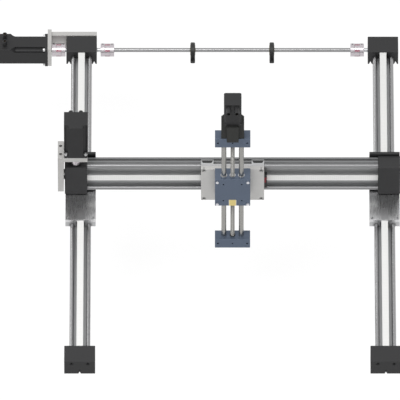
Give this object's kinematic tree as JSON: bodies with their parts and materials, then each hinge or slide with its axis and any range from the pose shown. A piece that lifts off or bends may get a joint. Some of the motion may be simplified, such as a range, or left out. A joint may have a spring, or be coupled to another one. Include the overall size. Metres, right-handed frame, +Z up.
{
  "type": "gantry robot",
  "caption": "Three-axis gantry robot: belt-driven long rails and bridge on round steel shafts, with a lead-screw lifting unit.",
  "frame": {"origin": "midway between the two long rails, at half their length, in the plane of the end housings' undersides that is bolted to the machine frame", "axes": "+X along the bridge away from its motor, +Y along the long rails towards the connecting shaft, +Z up"},
  "size_m": [0.9709, 1.124, 0.4893],
  "materials": {
    "profile_aluminium": "extruded, clear anodised",
    "ground_shaft": "ground and polished",
    "belt_white": "white polyurethane toothed belt",
    "housing_grey": "dark grey, satin",
    "bracket_black": "black powder coat",
    "screw_black": "black oxide",
    "bearing_steel": "ground",
    "motor_black": "black, satin",
    "mount_aluminium": "milled, clear anodised",
    "pillow_black": "moulded",
    "insert_yellow": "yellow-brown polymer",
    "pulley_aluminium": "hobbed and turned",
    "coupling_silver": "turned",
    "spider_red": "red elastomer",
    "carriage_aluminium": "brushed, clear anodised",
    "block_aluminium": "cast, satin",
    "liner_black": "black polymer",
    "tensioner_red": "red anodised",
    "anodised_blue": "slate blue anodised",
    "screw_bright": "bright zinc",
    "bushing_steel": "polished",
    "nut_bronze": "yellow bronze",
    "screw_steel": "rolled thread",
    "coupler_black": "black anodised"
  },
  "bodies": {
    "base": {"y_profiles": "profile_aluminium", "y_rail_shafts": "ground_shaft", "y_belts": "belt_white", "y_drive_housing_left": "housing_grey", "y_drive_housing_right": "housing_grey", "y_idler_housings": "housing_grey", "y_housing_screws": "screw_black", "y_pulley_bearings": "bearing_steel", "y_motor": "motor_black", "y_motor_plate": "mount_aluminium", "y_motor_bar": "mount_aluminium", "pillow_blocks": "pillow_black", "pillow_bearings": "insert_yellow"},
    "y_drive": {"y_drive_pulleys": "pulley_aluminium", "y_coupling_hubs": "coupling_silver", "y_coupling_spiders": "spider_red", "y_connecting_shaft": "ground_shaft", "y_motor_shaft": "ground_shaft"},
    "y_idler_left": {"y_idler_pulley_left": "pulley_aluminium"},
    "y_idler_right": {"y_idler_pulley_right": "pulley_aluminium"},
    "gantry": {"y_carriages": "carriage_aluminium", "y_bearing_blocks": "block_aluminium", "y_bearing_liners": "liner_black", "y_belt_clamps": "carriage_aluminium", "x_brackets": "bracket_black", "x_profile": "profile_aluminium", "x_rail_shafts": "ground_shaft", "x_belt": "belt_white", "x_idler_housing": "housing_grey", "x_drive_housing": "housing_grey", "x_housing_screws": "screw_black", "x_pulley_bearings": "bearing_steel", "x_motor": "motor_black", "x_motor_plate": "mount_aluminium", "x_side_plate": "mount_aluminium"},
    "x_drive": {"x_drive_pulley": "pulley_aluminium", "x_coupling_hubs": "coupling_silver", "x_coupling_spider": "spider_red", "x_motor_shaft": "ground_shaft"},
    "x_idler": {"x_idler_pulley": "pulley_aluminium"},
    "cross_carriage": {"x_carriage": "carriage_aluminium", "x_bearing_blocks": "block_aluminium", "x_bearing_liners": "liner_black", "belt_tensioner": "tensioner_red", "adapter_plate": "mount_aluminium", "adapter_screws": "screw_bright", "z_block": "anodised_blue", "z_block_screws": "screw_bright", "z_bushings": "bushing_steel", "screw_wiper": "bushing_steel", "lead_nut": "nut_bronze"},
    "z_unit": {"z_upper_plate": "anodised_blue", "z_lower_plate": "anodised_blue", "z_guide_shafts": "ground_shaft", "z_screw_bearings": "bearing_steel", "z_coupling_housing": "coupler_black", "z_motor": "motor_black"},
    "lead_screw": {"lead_screw": "screw_steel", "z_coupling": "coupling_silver", "z_motor_shaft": "ground_shaft"}
  },
  "joints": [
    {"name": "y_slide", "type": "slide", "parent": "base", "child": "gantry", "axis": [0, 1, 0], "range_m": [-0.42, 0.375]},
    {"name": "x_slide", "type": "slide", "parent": "gantry", "child": "cross_carriage", "axis": [1, 0, 0], "range_m": [-0.25, 0.25]},
    {"name": "z_slide", "type": "slide", "parent": "cross_carriage", "child": "z_unit", "axis": [0, 0, 1], "range_m": [-0.106, 0.109]},
    {"name": "y_drive_spin", "type": "hinge", "parent": "base", "child": "y_drive", "pos_m": [0, 0.527, 0.022], "axis": [1, 0, 0], "range_deg": [-1291, 1445]},
    {"name": "y_idler_left_spin", "type": "hinge", "parent": "base", "child": "y_idler_left", "pos_m": [-0.366, -0.527, 0.022], "axis": [1, 0, 0], "range_deg": [-1291, 1445]},
    {"name": "y_idler_right_spin", "type": "hinge", "parent": "base", "child": "y_idler_right", "pos_m": [0.366, -0.527, 0.022], "axis": [1, 0, 0], "range_deg": [-1291, 1445]},
    {"name": "x_drive_spin", "type": "hinge", "parent": "gantry", "child": "x_drive", "pos_m": [-0.377, 0.0301, 0.089], "axis": [0, 0, 1], "range_deg": [-1506, 1506]},
    {"name": "x_idler_spin", "type": "hinge", "parent": "gantry", "child": "x_idler", "pos_m": [0.377, 0.0301, 0.089], "axis": [0, 0, 1], "range_deg": [-1506, 1506]},
    {"name": "screw_spin", "type": "hinge", "parent": "z_unit", "child": "lead_screw", "pos_m": [0, -0.0266, 0.1], "axis": [0, 0, 1], "range_deg": [-9545, 9815]}
  ],
  "couplings": [
    {"joint": "y_drive_spin", "follows": "y_slide", "rad_per_m": -59.84},
    {"joint": "y_idler_left_spin", "follows": "y_slide", "rad_per_m": -59.84},
    {"joint": "y_idler_right_spin", "follows": "y_slide", "rad_per_m": -59.84},
    {"joint": "x_drive_spin", "follows": "x_slide", "rad_per_m": 104.72},
    {"joint": "x_idler_spin", "follows": "x_slide", "rad_per_m": 104.72},
    {"joint": "screw_spin", "follows": "z_slide", "rad_per_m": 1570.8}
  ]
}
